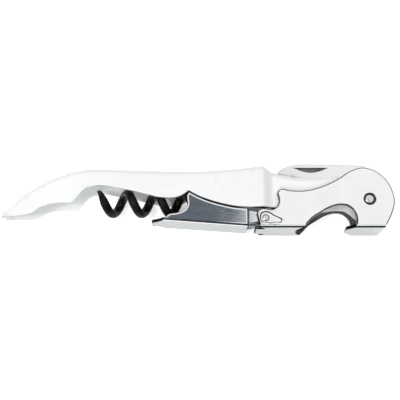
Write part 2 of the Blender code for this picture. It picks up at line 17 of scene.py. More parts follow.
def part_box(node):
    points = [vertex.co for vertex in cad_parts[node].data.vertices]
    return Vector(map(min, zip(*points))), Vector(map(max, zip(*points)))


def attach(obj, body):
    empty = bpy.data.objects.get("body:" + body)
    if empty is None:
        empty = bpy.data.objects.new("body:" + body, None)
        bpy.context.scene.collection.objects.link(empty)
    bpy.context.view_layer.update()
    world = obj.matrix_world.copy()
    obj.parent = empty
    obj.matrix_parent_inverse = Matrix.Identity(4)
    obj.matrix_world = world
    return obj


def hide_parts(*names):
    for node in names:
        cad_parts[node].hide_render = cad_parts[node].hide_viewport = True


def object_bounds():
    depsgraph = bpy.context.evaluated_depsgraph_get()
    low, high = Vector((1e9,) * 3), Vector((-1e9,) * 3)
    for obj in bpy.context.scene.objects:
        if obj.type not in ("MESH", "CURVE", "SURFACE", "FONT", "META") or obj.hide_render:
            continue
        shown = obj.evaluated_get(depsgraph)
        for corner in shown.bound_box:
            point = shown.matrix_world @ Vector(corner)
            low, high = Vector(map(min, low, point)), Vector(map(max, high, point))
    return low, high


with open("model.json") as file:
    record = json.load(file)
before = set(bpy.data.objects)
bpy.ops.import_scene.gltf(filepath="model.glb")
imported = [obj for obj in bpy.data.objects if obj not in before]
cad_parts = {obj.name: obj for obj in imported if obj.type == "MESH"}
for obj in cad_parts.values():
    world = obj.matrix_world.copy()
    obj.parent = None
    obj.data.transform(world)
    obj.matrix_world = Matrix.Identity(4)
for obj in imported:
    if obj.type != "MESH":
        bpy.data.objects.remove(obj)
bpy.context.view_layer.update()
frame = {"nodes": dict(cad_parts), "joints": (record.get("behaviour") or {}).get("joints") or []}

MM = 0.001
JOINTS = {joint["name"]: Vector(joint["pos_m"]) for joint in frame["joints"]}
EYE = JOINTS["lever_hinge"]


def from_eye(joint):
    """A joint's place in the side view, in millimetres from the eye."""
    offset = (JOINTS[joint] - EYE) / MM
    return offset.x, offset.y


def extent(node, axis):
    """A CAD node's lowest and highest place on an axis, in millimetres from the eye."""
    low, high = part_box(node)
    return (low[axis] - EYE[axis]) / MM, (high[axis] - EYE[axis]) / MM


def spot(x, y, z=0.0):
    return EYE + Vector((x, y, z)) * MM


HINGE_X, HINGE_Y = from_eye("step_hinge")
PIN_X, _ = from_eye("worm_hinge")
HANDLE_HALF = extent("handle_shell", 2)[1]
HEAD_HALF = extent("head_lever", 2)[1]
STEP_HALF = extent("step_lever", 2)[1]
NARROW_HALF = extent("worm_pin", 2)[1]
BLADE_HALF = extent("foil_blade", 2)[1]
WEB_Y = extent("head_lever", 1)[0]
TAIL_X = extent("handle_shell", 0)[0]
HEAD_X = extent("head_lever", 0)[1]
FOOT_X = extent("step_lever", 0)[0]
WORM_TIP_X = extent("worm", 0)[0]
WORM_R = extent("worm", 2)[1]
BLADE_TIP_X = extent("foil_blade", 0)[0]
BLADE_TOP = extent("foil_blade", 1)[1]

HANDLE_WALL = 1.2
HEAD_WALL = 1.1
STEP_WALL = 1.0
WIRE_R = 1.4
SPINE_RISE = 9.5
SPINE_FOLD = 2.2
JOGGLE_END = PIN_X - 1.6
JOGGLE_START = JOGGLE_END - 4.3
SLIT_END = JOGGLE_END + 0.6
SLIT_HALF = 1.2
STEP_END_X = HINGE_X - 5.7
STEP_CORNER_X = HINGE_X - 23.9
ARM_HALF = HEAD_HALF - HEAD_WALL - 0.5
HEAD_FOLD = 0.7
STEP_FOLD = 0.6
FOLD_ROWS = 8
EYE_SEAT = 1.62
HINGE_SEAT = 1.12
TUBE_PLAY = 0.06
POCKET = 0.28

HANDLE_RIM_ROUND = 0.22
HEAD_ROUND = 0.55
WEB_ROUND = 0.15
ARM_ROUND = 0.2
BLADE_ROUND = 0.25

# A folded sheet's materials: a wall's rim is one slot after the wall's own.
RIM_SLOT = 1
WEB_SLOT = 2
INSIDE_SLOT = 4


# ---------------------------------------------------------------- camera, light, floor

def make_camera():
    tilt = math.radians(14.5)
    distance = 281.6
    aim = spot(-53.12, 1.26)
    data = bpy.data.cameras.new("camera")
    data.sensor_width = 36
    data.lens = 79.2
    camera = bpy.data.objects.new("camera", data)
    bpy.context.scene.collection.objects.link(camera)
    camera.rotation_euler = (tilt, 0, 0)
    camera.location = aim + Vector((0, -math.sin(tilt), math.cos(tilt))) * distance * MM
    bpy.context.scene.camera = camera


def node(tree, kind, **inputs):
    """A shader node with its settings (lower case) and input values ("Input Name": value)."""
    made = tree.nodes.new(kind)
    for key, value in inputs.items():
        if hasattr(made, key):
            setattr(made, key, value)
        else:
            made.inputs[key.replace("_", " ")].default_value = value
    return made


def fade(tree, value, start, end):
    """A smooth 0..1 step of value, from start to end. It falls if end is the lower."""
    made = node(tree, "ShaderNodeMapRange", interpolation_type="SMOOTHSTEP")
    made.inputs["From Min"].default_value = start
    made.inputs["From Max"].default_value = end
    tree.links.new(value, made.inputs["Value"])
    return made.outputs["Result"]


def product(tree, one, two):
    made = node(tree, "ShaderNodeMath", operation="MULTIPLY")
    tree.links.new(one, made.inputs[0])
    tree.links.new(two, made.inputs[1])
    return made.outputs[0]


def make_world():
    """A dim room with a big white sheet overhead, and a narrow dark card on the sheet.

    The levers' flat walls mirror the sheet, the second lever's wall mirrors the card, and rounded
    edges mirror the dim room.
    """
    world = bpy.data.worlds.new("studio")
    bpy.context.scene.world = world
    world.use_nodes = True
    tree = world.node_tree
    tree.nodes.clear()
    output = node(tree, "ShaderNodeOutputWorld")
    background = node(tree, "ShaderNodeBackground")
    tree.links.new(background.outputs[0], output.inputs[0])
    direction = node(tree, "ShaderNodeTexCoord").outputs["Generated"]
    split = node(tree, "ShaderNodeSeparateXYZ")
    tree.links.new(direction, split.inputs[0])
    middle_of_sheet = node(tree, "ShaderNodeVectorMath", operation="DOT_PRODUCT")
    middle_of_sheet.inputs[1].default_value = Vector((0.05, 0.30, 0.95)).normalized()
    tree.links.new(direction, middle_of_sheet.inputs[0])
    sheet = node(tree, "ShaderNodeMix", data_type="RGBA")
    sheet.inputs[6].default_value = (0.07, 0.072, 0.076, 1)
    sheet.inputs[7].default_value = (1.0, 1.0, 1.0, 1)
    tree.links.new(fade(tree, middle_of_sheet.outputs["Value"], 0.60, 0.84), sheet.inputs[0])
    across = product(tree, fade(tree, split.outputs["X"], -0.10, -0.075),
                     fade(tree, split.outputs["X"], 0.075, 0.03))
    card = product(tree, across, fade(tree, split.outputs["Y"], 0.345, 0.30))
    mix = node(tree, "ShaderNodeMix", data_type="RGBA")
    mix.inputs[7].default_value = (0.12, 0.14, 0.165, 1)
    tree.links.new(card, mix.inputs[0])
    tree.links.new(sheet.outputs[2], mix.inputs[6])
    tree.links.new(mix.outputs[2], background.inputs["Color"])
    background.inputs["Strength"].default_value = 1.0


def area_light(name, place, size, energy, mirrored=False):
    """A square lamp that points at the origin. Shiny pieces see it only if it is mirrored."""
    data = bpy.data.lights.new(name, "AREA")
    data.size = size
    data.energy = energy
    lamp = bpy.data.objects.new(name, data)
    bpy.context.scene.collection.objects.link(lamp)
    lamp.location = place
    lamp.rotation_euler = (-Vector(place)).to_track_quat("-Z", "Y").to_euler()
    lamp.visible_glossy = mirrored


FLOOR_GAP = 0.0002


def make_floor():
    bpy.ops.mesh.primitive_plane_add(size=6)
    floor = bpy.context.object
    floor.name = "floor"
    floor.location.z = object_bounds()[0][2] - FLOOR_GAP
    made, tree, shader = new_material("pale_floor")
    tree.links.new(tint(tree, grain(tree, 8), (0.89, 0.89, 0.89), (0.91, 0.91, 0.91)),
                   shader.inputs["Base Color"])
    shader.inputs["Roughness"].default_value = 0.9
    shader.inputs["Emission Color"].default_value = (1.0, 1.0, 1.0, 1)
    shader.inputs["Emission Strength"].default_value = 0.45
    floor.data.materials.append(made)


def make_stage():
    scene = bpy.context.scene
    scene.view_settings.view_transform = "Standard"
    make_camera()
    make_world()
    area_light("key", (-0.25, -0.70, 0.85), 0.9, 7.2)
    area_light("fill", (0.6, 0.5, 0.9), 0.9, 2.5)
    area_light("spark", (-0.25, -0.12, 0.5), 0.05, 0.8, mirrored=True)
    make_floor()


# ---------------------------------------------------------------- materials

MATERIALS = {}
GRAIN_LOW = 0.35         # most of a grain's values lie between these
GRAIN_HIGH = 0.65


def new_material(name):
    made = bpy.data.materials.new(name)
    made.use_nodes = True
    return made, made.node_tree, made.node_tree.nodes["Principled BSDF"]


def grain(tree, scale, stretch=(1, 1, 1), detail=4.0):
    """Noise in the object's own space, stretched along an axis for brushed metal."""
    coordinates = node(tree, "ShaderNodeTexCoord")
    mapping = node(tree, "ShaderNodeMapping")
    mapping.inputs["Scale"].default_value = stretch
    noise = node(tree, "ShaderNodeTexNoise")
    noise.inputs["Scale"].default_value = scale
    noise.inputs["Detail"].default_value = detail
    noise.inputs["Roughness"].default_value = 0.55
    tree.links.new(coordinates.outputs["Object"], mapping.inputs["Vector"])
    tree.links.new(mapping.outputs["Vector"], noise.inputs["Vector"])
    return noise.outputs["Fac"]


def spread_to(tree, value, low, high):
    """A grain's value, mapped to low..high."""
    mapped = node(tree, "ShaderNodeMapRange")
    mapped.inputs["From Min"].default_value = GRAIN_LOW
    mapped.inputs["From Max"].default_value = GRAIN_HIGH
    mapped.inputs["To Min"].default_value = low
    mapped.inputs["To Max"].default_value = high
    tree.links.new(value, mapped.inputs["Value"])
    return mapped.outputs["Result"]


def tint(tree, value, dark, light, start=GRAIN_LOW, end=GRAIN_HIGH):
    """A colour between dark and light, by value."""
    ramp = node(tree, "ShaderNodeValToRGB")
    ramp.color_ramp.elements[0].position = start
    ramp.color_ramp.elements[0].color = (*dark, 1)
    ramp.color_ramp.elements[1].position = end
    ramp.color_ramp.elements[1].color = (*light, 1)
    tree.links.new(value, ramp.inputs["Fac"])
    return ramp.outputs["Color"]


def bump(tree, shader, value, height_mm, strength):
    made = node(tree, "ShaderNodeBump")
    made.inputs["Strength"].default_value = strength
    made.inputs["Distance"].default_value = height_mm * MM
    tree.links.new(value, made.inputs["Height"])
    tree.links.new(made.outputs["Normal"], shader.inputs["Normal"])


def enamel():
    """Sprayed white enamel: a slight orange peel, and gloss that varies a little."""
    made, tree, shader = new_material("white_enamel")
    tree.links.new(tint(tree, grain(tree, 60), (0.80, 0.81, 0.81), (0.83, 0.84, 0.84)),
                   shader.inputs["Base Color"])
    tree.links.new(spread_to(tree, grain(tree, 250), 0.26, 0.36), shader.inputs["Roughness"])
    shader.inputs["Coat Weight"].default_value = 0.35
    shader.inputs["Coat Roughness"].default_value = 0.12
    bump(tree, shader, grain(tree, 1400, detail=2), 0.02, 0.25)
    return made


def bare_steel_shaded_edge():
    """The sheet's cut edge: grey where the enamel is thin and the steel shows through, and darker
    still as painted shade along the edge.
    """
    made, tree, shader = new_material("bare_steel_shaded_edge")
    tree.links.new(tint(tree, grain(tree, 900), (0.42, 0.43, 0.44), (0.60, 0.61, 0.62)),
                   shader.inputs["Base Color"])
    tree.links.new(spread_to(tree, grain(tree, 1200), 0.3, 0.5), shader.inputs["Roughness"])
    shader.inputs["Metallic"].default_value = 0.4
    return made


def plated(name, dark, light, rough_low, rough_high):
    """Bright nickel plate over stamped steel: fine polishing marks and a slow waviness."""
    made, tree, shader = new_material(name)
    tree.links.new(tint(tree, grain(tree, 130), dark, light), shader.inputs["Base Color"])
    marks = grain(tree, 3500, (0.12, 1, 1), detail=3)
    tree.links.new(spread_to(tree, marks, rough_low, rough_high), shader.inputs["Roughness"])
    shader.inputs["Metallic"].default_value = 1.0
    slow = grain(tree, 110, detail=1)
    marks_depth = 0.012
    both = node(tree, "ShaderNodeMath", operation="MULTIPLY_ADD")
    both.inputs[1].default_value = marks_depth
    tree.links.new(marks, both.inputs[0])
    tree.links.new(slow, both.inputs[2])
    bump(tree, shader, both.outputs[0], 0.03, 0.6)
    return made


def brushed(name, dark, light, rough_low, rough_high, direction=(1, 0.05, 1)):
    """Satin steel with grinding marks across the piece."""
    made, tree, shader = new_material(name)
    marks = grain(tree, 2600, direction, detail=4)
    tree.links.new(tint(tree, marks, dark, light), shader.inputs["Base Color"])
    tree.links.new(spread_to(tree, marks, rough_low, rough_high), shader.inputs["Roughness"])
    shader.inputs["Metallic"].default_value = 1.0
    bump(tree, shader, marks, 0.0015, 0.4)
    return made


def coating():
    """Black non-stick coating: semi-gloss with a fine pebble and faint scuffs."""
    made, tree, shader = new_material("black_coating")
    black = (0.004, 0.004, 0.004)
    scuffed = (0.012, 0.012, 0.011)
    tree.links.new(tint(tree, grain(tree, 400), black, scuffed, 0.4, 0.75),
                   shader.inputs["Base Color"])
    tree.links.new(spread_to(tree, grain(tree, 900), 0.24, 0.4), shader.inputs["Roughness"])
    shader.inputs["Specular IOR Level"].default_value = 0.13
    bump(tree, shader, grain(tree, 2600, detail=3), 0.02, 0.35)
    return made


# ---------------------------------------------------------------- curves and meshes

# A face counts as one of these by its normal's share along an axis.
STEEP = 0.3
RIM_STEEP = 0.93
FLAT_WALL = 0.9997
FLAT_WEB = 0.998
LEVEL = 1e-3             # how near a corner lies to a wall that it belongs to


def smooth_value(points, x):
    """The height at x of a smooth curve through (x, y) points that run towards +X."""
    last = len(points) - 2
    i = max(0, min(last, sum(1 for p in points if p[0] <= x) - 1))
    (x0, y0), (x1, y1) = points[i], points[i + 1]
    span = x1 - x0
    slope = (y1 - y0) / span
    before = (y0 - points[i - 1][1]) / (x0 - points[i - 1][0]) if i > 0 else slope
    after = (points[i + 2][1] - y1) / (points[i + 2][0] - x1) if i < last else slope
    t = max(0.0, min(1.0, (x - x0) / span))
    m0 = (before + slope) / 2 * span
    m1 = (slope + after) / 2 * span
    return ((2 * t**3 - 3 * t**2 + 1) * y0 + (t**3 - 2 * t**2 + t) * m0
            + (3 * t**2 - 2 * t**3) * y1 + (t**3 - t**2) * m1)


def ramp_between(x, start, end):
    t = max(0.0, min(1.0, (x - start) / (end - start)))
    return t * t * (3 - 2 * t)


def spread(low, high, count):
    return [low + (high - low) * k / count for k in range(count + 1)]


def trace(points, step, closed=True):
    """A smooth line through points, at about one point a step. A third value marks a corner."""
    count = len(points)
    line = []
    for i in range(count if closed else count - 1):
        a = Vector(points[i][:2])
        b = Vector(points[(i + 1) % count][:2])
        before = Vector(points[i - 1][:2]) if closed or i > 0 else a
        after = Vector(points[(i + 2) % count][:2]) if closed or i + 2 < count else b
        chord = b - a
        sharp_a = len(points[i]) == 3
        sharp_b = len(points[(i + 1) % count]) == 3
        tangent_a = chord if sharp_a else tangent(before, a, b) * chord.length
        tangent_b = chord if sharp_b else tangent(a, b, after) * chord.length
        pieces = 1 if sharp_a and sharp_b else max(2, round(chord.length / step))
        for k in range(pieces):
            t = k / pieces
            p = (a * (2 * t**3 - 3 * t**2 + 1) + tangent_a * (t**3 - 2 * t**2 + t)
                 + b * (3 * t**2 - 2 * t**3) + tangent_b * (t**3 - t**2))
            line.append((p.x, p.y))
    if not closed:
        line.append(tuple(points[-1][:2]))
    return line


def tangent(before, here, after):
    """A smooth curve's direction at here. Each side's direction counts by the other's length."""
    one = here - before
    two = after - here
    if one.length < 1e-9 or two.length < 1e-9:
        return (one + two).normalized()
    return (one.normalized() * two.length + two.normalized() * one.length).normalized()


def circle(centre, radius, count=40):
    angles = [2 * math.pi * k / count for k in range(count)]
    return [(centre[0] + radius * math.cos(a), centre[1] + radius * math.sin(a)) for a in angles]


def arc_points(centre, radius, start, end, count):
    angles = [math.radians(a) for a in spread(start, end, count - 1)]
    return [(centre[0] + radius * math.cos(a), centre[1] + radius * math.sin(a)) for a in angles]


def toward(loop, centre, share):
    """loop, shrunk towards centre."""
    return [(x + (centre[0] - x) * share, y + (centre[1] - y) * share) for x, y in loop]


def fill(bm, loops, height, level=None):
    """A flat face with holes. Each loop is (x, y) at z = height, or level(x, y) gives its place."""
    place = level or (lambda x, y: spot(x, y, height))
    edges = []
    for loop in loops:
        verts = [bm.verts.new(place(x, y)) for x, y in loop]
        edges += [bm.edges.new((verts[i - 1], verts[i])) for i in range(len(verts))]
    facing = (0, -1, 0) if level else (0, 0, 1)
    bmesh.ops.triangle_fill(bm, use_beauty=True, edges=edges, normal=facing)


def strip(bm, one, two, flip=False, closed=True):
    """Quads between two lines of places that have the same number of points."""
    first = [bm.verts.new(p) for p in one]
    second = [bm.verts.new(p) for p in two]
    count = len(first)
    for i in range(count if closed else count - 1):
        j = (i + 1) % count
        quad = (first[i], first[j], second[j], second[i])
        bm.faces.new(tuple(reversed(quad)) if flip else quad)


def piece(name, bm, body, materials, *replaced, smooth_angle=None):
    """A mesh object that rides on a body and stands for CAD nodes."""
    bmesh.ops.remove_doubles(bm, verts=bm.verts, dist=1e-7)
    mesh = bpy.data.meshes.new(name)
    bm.to_mesh(mesh)
    bm.free()
    for made in materials:
        mesh.materials.append(made)
    mesh.shade_smooth()
    if smooth_angle:
        mesh.set_sharp_from_angle(angle=math.radians(smooth_angle))
    obj = bpy.data.objects.new(name, mesh)
    bpy.context.scene.collection.objects.link(obj)
    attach(obj, body)
    if replaced:
        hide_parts(*replaced)
    return obj


def thicken(obj, wall, edge=0):
    """Gives a sheet its thickness, inwards. An edge width rounds its rims too."""
    solid = obj.modifiers.new("wall", "SOLIDIFY")
    solid.thickness = wall * MM
    solid.offset = -1
    solid.use_quality_normals = True
    solid.material_offset_rim = RIM_SLOT
    if edge:
        rounding = obj.modifiers.new("rim", "BEVEL")
        rounding.width = edge * MM
        rounding.segments = 3
        rounding.limit_method = "ANGLE"
        rounding.angle_limit = math.radians(50)
        rounding.use_clamp_overlap = False
    bpy.context.view_layer.update()
    evaluated = obj.evaluated_get(bpy.context.evaluated_depsgraph_get())
    mesh = bpy.data.meshes.new_from_object(evaluated)
    obj.modifiers.clear()
    obj.data = mesh


def round_off(obj, axis, height, inward, profile, free_from=-math.inf):
    """Rounds the edges of the flat wall that lies at a height on an axis, measured from the eye.

    profile gives (distance from the edge, drop). An edge counts where the next face is steep. Below
    free_from, in Y, the drop fades out, so that a fold keeps its line. The steep part of the
    rounding takes the rim's material, a dark colour that paints shade along the edge as an outline.
    """
    bm = bmesh.new()
    bm.from_mesh(obj.data)

    def on_wall(v):
        return abs((v.co[axis] - EYE[axis]) / MM - height) < LEVEL

    wall = [f for f in bm.faces if all(on_wall(v) for v in f.verts)]
    members = set(wall)
    lines = []
    for edge in {e for f in wall for e in f.edges}:
        others = [f for f in edge.link_faces if f not in members]
        if len(others) == 1 and abs(others[0].normal[axis]) < STEEP:
            lines.append((edge.verts[0].co.copy(), edge.verts[1].co.copy()))
    widths = [width for width, _ in profile]
    for near, far in zip(widths, widths[1:]):
        bmesh.ops.inset_region(bm, faces=wall, thickness=(far - near) * MM, use_boundary=True,
                               use_even_offset=False)
    for v in {v for f in bm.faces for v in f.verts if on_wall(v)}:
        distance = min(to_segment(v.co, a, b) for a, b in lines) / MM
        if distance < widths[-1]:
            share = max(0.0, min(1.0, ((v.co.y - EYE.y) / MM - free_from) / 0.5))
            v.co[axis] += inward * blend_profile(profile, distance) * share * MM
    bm.normal_update()
    for f in bm.faces:
        drop = ((f.calc_center_median()[axis] - EYE[axis]) / MM - height) * inward
        if 0.02 < drop < profile[0][1] and abs(f.normal[axis]) < RIM_STEEP:
            f.material_index = RIM_SLOT
    bm.to_mesh(obj.data)
    bm.free()


def to_segment(point, a, b):
    """The distance from a point to the line from a to b."""
    nearest, share = intersect_point_line(point, a, b)
    if share <= 0:
        nearest = a
    elif share >= 1:
        nearest = b
    return (point - nearest).length


def blend_profile(profile, distance):
    """The profile's drop at a distance from the edge."""
    for (x0, y0), (x1, y1) in zip(profile, profile[1:]):
        if distance <= x1:
            return y0 + (y1 - y0) * (distance - x0) / (x1 - x0)
    return 0.0


def quarter(radius, pieces):
    """A rounded edge's profile, from the rim to the flat."""
    angles = [math.pi / 2 * k / pieces for k in range(pieces + 1)]
    return [(radius * (1 - math.cos(a)), radius * (1 - math.sin(a))) for a in angles]


def face_normal(mesh, polygon):
    """A polygon's normal. A sliver in a wall takes the wall's."""
    heights = [mesh.vertices[i].co.z for i in polygon.vertices]
    if max(heights) - min(heights) < 1e-6 and abs(polygon.normal.z) > 0.5:
        return Vector((0, 0, math.copysign(1, polygon.normal.z)))
    return polygon.normal.copy()


def shade(obj, sharp=50):
    """Keeps a mesh's flat faces' shading flat.

    A corner takes the normal of the flat wall or web beside it. Elsewhere it takes the mean of the
    faces that meet there at less than the sharp angle.
    """
    mesh = obj.data
    mesh.shade_smooth()
    faces = [face_normal(mesh, polygon) for polygon in mesh.polygons]
    areas = [polygon.area for polygon in mesh.polygons]
    flat = [abs(n.z) > FLAT_WALL or abs(n.y) > FLAT_WEB for n in faces]
    around = [[] for _ in mesh.vertices]
    for polygon in mesh.polygons:
        for vertex in polygon.vertices:
            around[vertex].append(polygon.index)
    limit = math.cos(math.radians(sharp))
    normals = []
    for polygon in mesh.polygons:
        own = faces[polygon.index]
        for vertex in polygon.vertices:
            near = [i for i in around[vertex] if faces[i].dot(own) > limit]
            strong = [i for i in near if flat[i]]
            if flat[polygon.index]:
                normals.append(own)
            elif strong:
                normals.append(faces[max(strong, key=lambda i: faces[i].dot(own))])
            else:
                total = sum((faces[i] * areas[i] for i in near), Vector())
                normals.append(total.normalized() if total.length > 1e-15 else own)
    mesh.normals_split_custom_set(normals)


def lathe(bm, centre, profile, steps=48):
    """A round shape about Z through centre: profile runs (radius, z) from the top down."""
    rings = []
    for r, z in profile:
        if r == 0:
            rings.append([bm.verts.new(spot(centre[0], centre[1], z))])
        else:
            rings.append([bm.verts.new(spot(x, y, z)) for x, y in circle(centre, r, steps)])
    for upper, lower in zip(rings, rings[1:]):
        for i in range(steps):
            j = (i + 1) % steps
            if len(upper) == 1:
                bm.faces.new((upper[0], lower[i], lower[j]))
            elif len(lower) == 1:
                bm.faces.new((upper[i], lower[0], upper[j]))
            else:
                bm.faces.new((upper[i], lower[i], lower[j], upper[j]))


# ---------------------------------------------------------------- handle

def spine_points():
    """The spine's line, from the tail to past the eye."""
    tail = [(0, -3.6), (1.7, -2.5), (3.2, -0.9), (5.3, 1.3), (8.6, 3.5), (11.9, 5.2), (15.1, 6.7)]
    points = [(TAIL_X + x, y) for x, y in tail]
    points += [(TAIL_X + 18.2, SPINE_RISE - 1.6), (TAIL_X + 21.3, SPINE_RISE - 0.6)]
    points += [(TAIL_X + 24.4, SPINE_RISE + 0.15), (TAIL_X + 27.6, SPINE_RISE + 0.6)]
    points += [(TAIL_X + 34, SPINE_RISE + 0.6)]
    bay = JOGGLE_START - points[-1][0]
    points += [(points[-1][0] + bay * part, SPINE_RISE + rise)
               for part, rise in ((0.24, 0.15), (0.6, 0.0), (0.85, 0.85))]
    points += [(JOGGLE_START, SPINE_RISE + 1.65), (JOGGLE_START + 1.0, SPINE_RISE + 1.7)]
    points += [(JOGGLE_END - 1.2, SPINE_RISE + 0.3), (JOGGLE_END + 0.9, SPINE_RISE - 0.3)]
    points += [(JOGGLE_END + 3.6, SPINE_RISE - 1.1), (JOGGLE_END + 6.2, SPINE_RISE - 1.55)]
    points += [(JOGGLE_END + 10, SPINE_RISE - 1.7), (-13.4, SPINE_RISE - 1.55)]
    points += [(-9.3, SPINE_RISE - 0.7)]
    points += [(-7.0, SPINE_RISE), (7.0, SPINE_RISE + 0.3)]
    return points


def step_top_points():
    """The second lever's top edge, from its end at the hinge to its corner."""
    run = STEP_CORNER_X - STEP_END_X
    shape = [(0.0, -2.95), (0.2, -2.66), (0.4, -1.95), (0.61, -0.89), (0.81, 0.47), (0.95, 1.75)]
    return [(STEP_END_X + run * part, y) for part, y in shape]


def handle_edge_points():
    """The walls' lower edge, from the tail to the ear's foot."""
    tail = [(0.0, -5.1), (1.8, -4.85), (5.6, -4.75), (10, -3.9), (12.6, -2.3), (15.7, -1.4)]
    points = [(TAIL_X + x, y) for x, y in tail + [(18.8, -1.07)]]
    hook = [(24.3, 0.9), (25.5, 2.4), (26.8, 3.6), (28.4, 4.1), (31.1, 4.44), (34.2, 4.1)]
    points += [(TAIL_X + 22.5, -1.15, "corner")] + [(TAIL_X + x, y) for x, y in hook]
    gap = 0.45
    peak = (STEP_CORNER_X - 0.15, 2.35 + gap)
    start = points[-1][0]
    bay = peak[0] - start
    points += [(start + bay * part, y)
               for part, y in ((0.25, 2.9), (0.5, 1.4), (0.68, 0.5), (0.83, 0.55))]
    points += [(start + bay * 0.93, 1.55), (*peak, "corner")]
    points += [(x, y + gap) for x, y in reversed(step_top_points()[:-1])]
    points += [(HINGE_X, -2.35), (JOGGLE_END, -2.35), (-14, -1.9), (-9, -1.3), (-6.4, -1.6)]
    points += arc_points((0, 0), 5.3, -145, -4, 7)
    return points


def along(line, x):
    """The height at x of a line of points that runs towards +X."""
    for (x0, y0), (x1, y1) in zip(line, line[1:]):
        if x0 <= x <= x1 and x1 > x0:
            return y0 + (y1 - y0) * (x - x0) / (x1 - x0)
    return line[-1][1] if x > line[-1][0] else line[0][1]


def handle():
    """The channel: columns along X, each from one wall's lower edge over the spine to the other's.

    From the joggle on, a slit in the spine lets the blade in. Past neck_end there is no spine, and
    the two walls end in round ears about the eye.
    """
    edge = trace(handle_edge_points(), 0.4, closed=False)
    spine = spine_points()
    xs = [x for x, _ in edge]
    columns = sorted(set(round(x, 4) for x in xs + spread(JOGGLE_START - 1, JOGGLE_END + 1, 24)
                         + spread(TAIL_X, TAIL_X + 6, 16)))
    columns = [x for i, x in enumerate(columns) if i == 0 or x - columns[i - 1] > 0.05]
    wall_rows = 10
    neck_end = -9
    tail_half = 2.6
    cap = [(neck_end, 6.6), (-6.5, 6.4), (-3.6, 6.1), (-1, 5.35), (1.5, 5.08), (3.3, 4.15)]
    cap += [(4.6, 2.6), (5.3, 0.3)]
    bm = bmesh.new()
    grid = []
    for x in columns:
        taper = math.sin(math.pi / 2 * min(1, (x - TAIL_X + 0.6) / 25))
        half = tail_half + (HANDLE_HALF - tail_half) * taper
        half += (NARROW_HALF - HANDLE_HALF) * ramp_between(x, JOGGLE_START, JOGGLE_END)
        top = smooth_value(spine, x)
        r = min(SPINE_FOLD, half - 0.3)
        low = along(edge, x)
        if x < neck_end:
            shoulder = max(low + 0.2, top - r)
        else:
            shoulder = max(low + 0.1, smooth_value(cap, x))
        column = [(low + (shoulder - low) * k / wall_rows, half) for k in range(wall_rows)]
        for k in range(FOLD_ROWS + 1):
            a = math.pi / 2 * k / FOLD_ROWS
            column.append((shoulder + r * math.sin(a), half - r * (1 - math.cos(a))))
        slit_share = SLIT_HALF / (NARROW_HALF - SPINE_FOLD)
        column.append((column[-1][0], (half - r) * slit_share))
        column += [(y, -z) for y, z in reversed(column)]
        grid.append([bm.verts.new(spot(x, y, z)) for y, z in column])
    rows = len(grid[0])
    slit = rows // 2 - 1
    spine_rows = range(wall_rows, rows - wall_rows - 1)
    for i in range(len(columns) - 1):
        x = (columns[i] + columns[i + 1]) / 2
        for j in range(rows - 1):
            if (x > SLIT_END and j == slit) or (x > neck_end and j in spine_rows):
                continue
            bm.faces.new((grid[i][j], grid[i][j + 1], grid[i + 1][j + 1], grid[i + 1][j]))
    loose = [v for v in bm.verts if not v.link_faces]
    bmesh.ops.delete(bm, geom=loose, context="VERTS")
    bmesh.ops.recalc_face_normals(bm, faces=bm.faces)
    painted = [MATERIALS["enamel"], MATERIALS["bare_steel_shaded_edge"]]
    shell = piece("handle", bm, "handle", painted, "handle_shell")
    thicken(shell, HANDLE_WALL, HANDLE_RIM_ROUND)
    # The lower wall's rim keeps the white enamel; only the upper wall's rim shows the grey edge and
    # its painted shade.
    for polygon in shell.data.polygons:
        if polygon.material_index == RIM_SLOT and polygon.center.z < EYE.z:
            polygon.material_index = 0
    shade(shell)


# ---------------------------------------------------------------- head lever

def fold(bm, starts, ends, half, radius, side):
    """A quarter-round fold along X, from a wall down to a web.

    starts and ends each give the x and y where the fold leaves the wall, and the x where it meets
    the web.
    """
    (x_top0, y0, x_low0), (x_top1, y1, x_low1) = starts, ends
    lines = []
    for k in range(FOLD_ROWS + 1):
        a = math.pi / 2 * k / FOLD_ROWS
        part = math.sin(a)
        drop = radius * part
        z = side * (half - radius + radius * math.cos(a))
        lines.append([spot(x_top0 + (x_low0 - x_top0) * part, y0 - drop, z),
                      spot(x_top1 + (x_low1 - x_top1) * part, y1 - drop, z)])
    for upper, lower in zip(lines, lines[1:]):
        strip(bm, upper, lower, flip=side < 0, closed=False)


# The ends of the head lever's foot and lip, in X: at the wall, then at the web.
FOOT_START = (HINGE_X - 1.9, HINGE_X - 1.4)
FOOT_END = (-20.3, -21.3)
LIP_START = (-4.5, -4.7)
LIP_END = (4.9, 4.4)


def cheek_outline():
    """The head lever's side above its folds, anticlockwise from the beak's corner."""
    top = WEB_Y + HEAD_FOLD
    points = [(LIP_END[0], top, "corner"), (6.8, -4.7), (HEAD_X, -0.6), (7.3, 2.8), (5.3, 6.6)]
    points += [(1.8, 9.4), (-2.0, 10.3), (-5.8, 9.15), (-9.7, 6.6), (-13.6, 4.6), (-17.4, 3.3)]
    points += [(PIN_X + 7, 2.7), (PIN_X + 3.1, 2.85), (PIN_X - 0.1, 3.1), (PIN_X - 0.85, 2.2)]
    points += [(PIN_X - 0.85, 1.3), (PIN_X - 0.55, 0.5), (PIN_X - 0.55, -0.9), (PIN_X - 0.8, -2.0)]
    points += [(PIN_X - 2.0, HINGE_Y + 2.95), (HINGE_X - 1.5, HINGE_Y + 2.95)]
    points += [(HINGE_X - 2.75, HINGE_Y + 2.0), (HINGE_X - 2.5, HINGE_Y)]
    points += [(FOOT_START[0], top, "corner"), (FOOT_END[0], top, "corner")]
    points += [(-18.0, -6.0), (-15.75, -4.55), (-12.0, -2.5), (-9.2, -1.85)]
    points += [(-6.9, -2.3), (-5.1, -3.9), (-4.35, -6.1), (LIP_START[0], top, "corner")]
    return points


